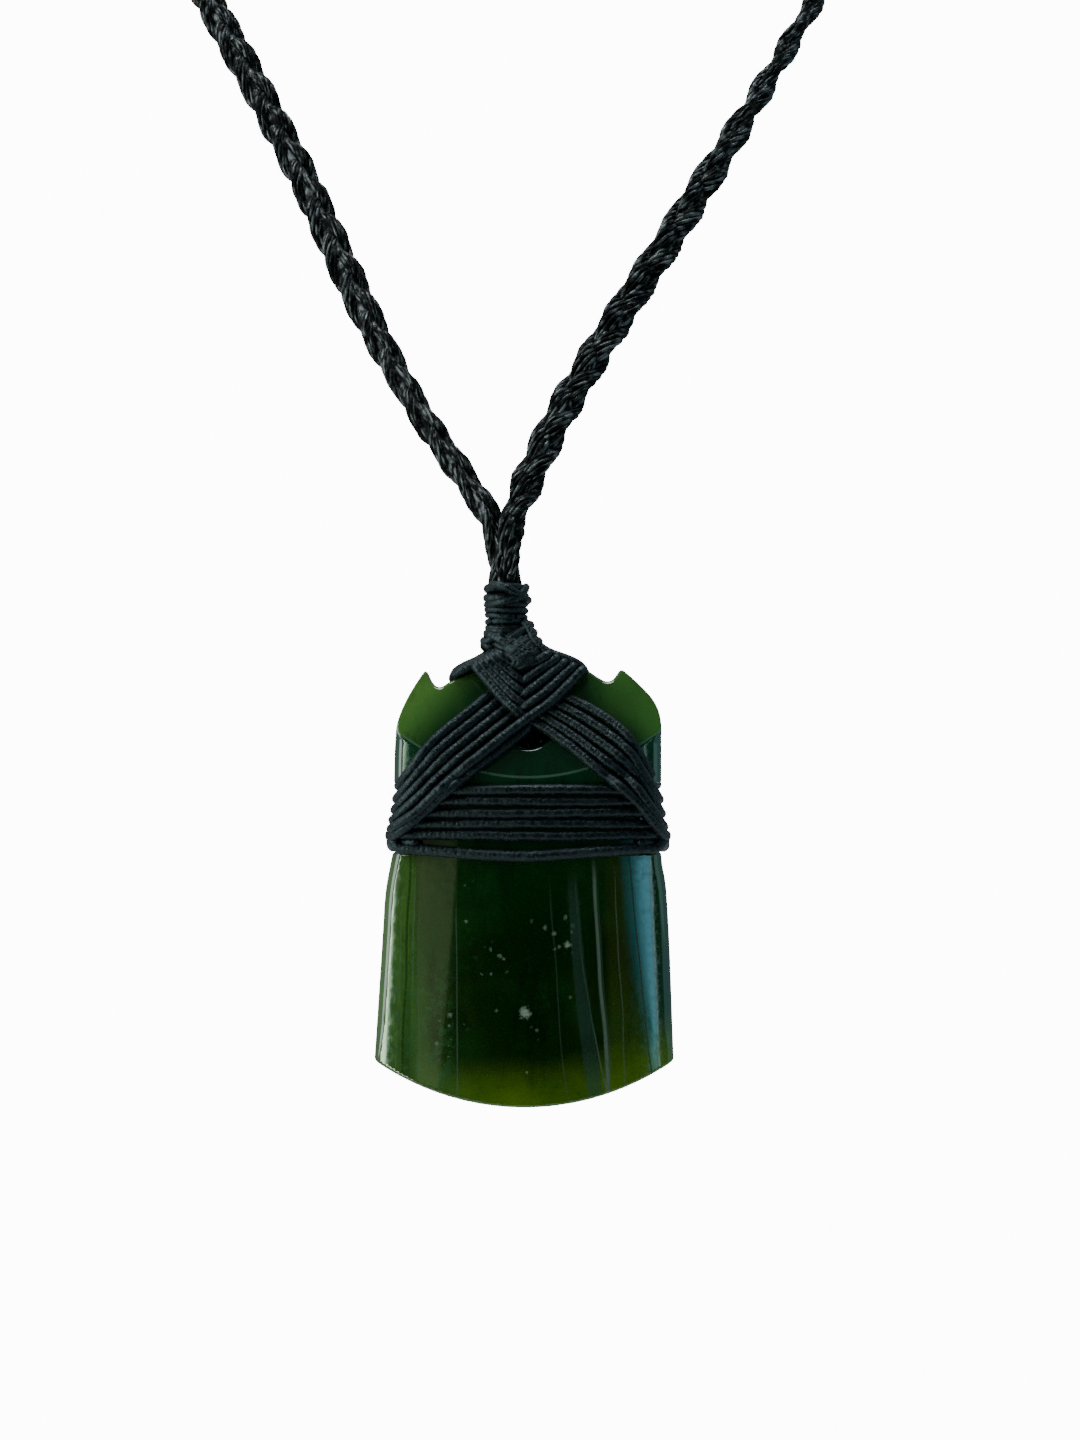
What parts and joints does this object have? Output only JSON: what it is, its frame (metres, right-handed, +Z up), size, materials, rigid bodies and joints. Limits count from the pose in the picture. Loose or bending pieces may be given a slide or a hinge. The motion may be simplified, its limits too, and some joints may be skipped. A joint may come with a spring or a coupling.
{
  "type": "greenstone adze pendant on a plaited cord necklace",
  "caption": "Polished greenstone adze blade, lashed at the waist and crown with waxed cord and hung from a plaited cord necklace that goes over the head.",
  "frame": {"origin": "middle of the plaited necklace where it lies on the nape of the neck", "axes": "+Z up, +X to the right seen from the front, -Y to the front, which the polished face of the blade faces"},
  "size_m": [0.1523, 0.1489, 0.2735],
  "materials": {
    "greenstone": "polished",
    "waxed_cord": "waxed",
    "plait_cord": "waxed"
  },
  "bodies": {
    "root": {"stone_blade": "greenstone", "waist_wraps": "waxed_cord", "left_lashing": "waxed_cord", "right_lashing": "waxed_cord", "crown_lashing": "waxed_cord", "neck_whipping": "waxed_cord", "whipping_hitch": "waxed_cord", "fork_bundle": "plait_cord", "plait_strand_1": "plait_cord", "plait_strand_2": "plait_cord", "plait_strand_3": "plait_cord"}
  },
  "joints": []
}
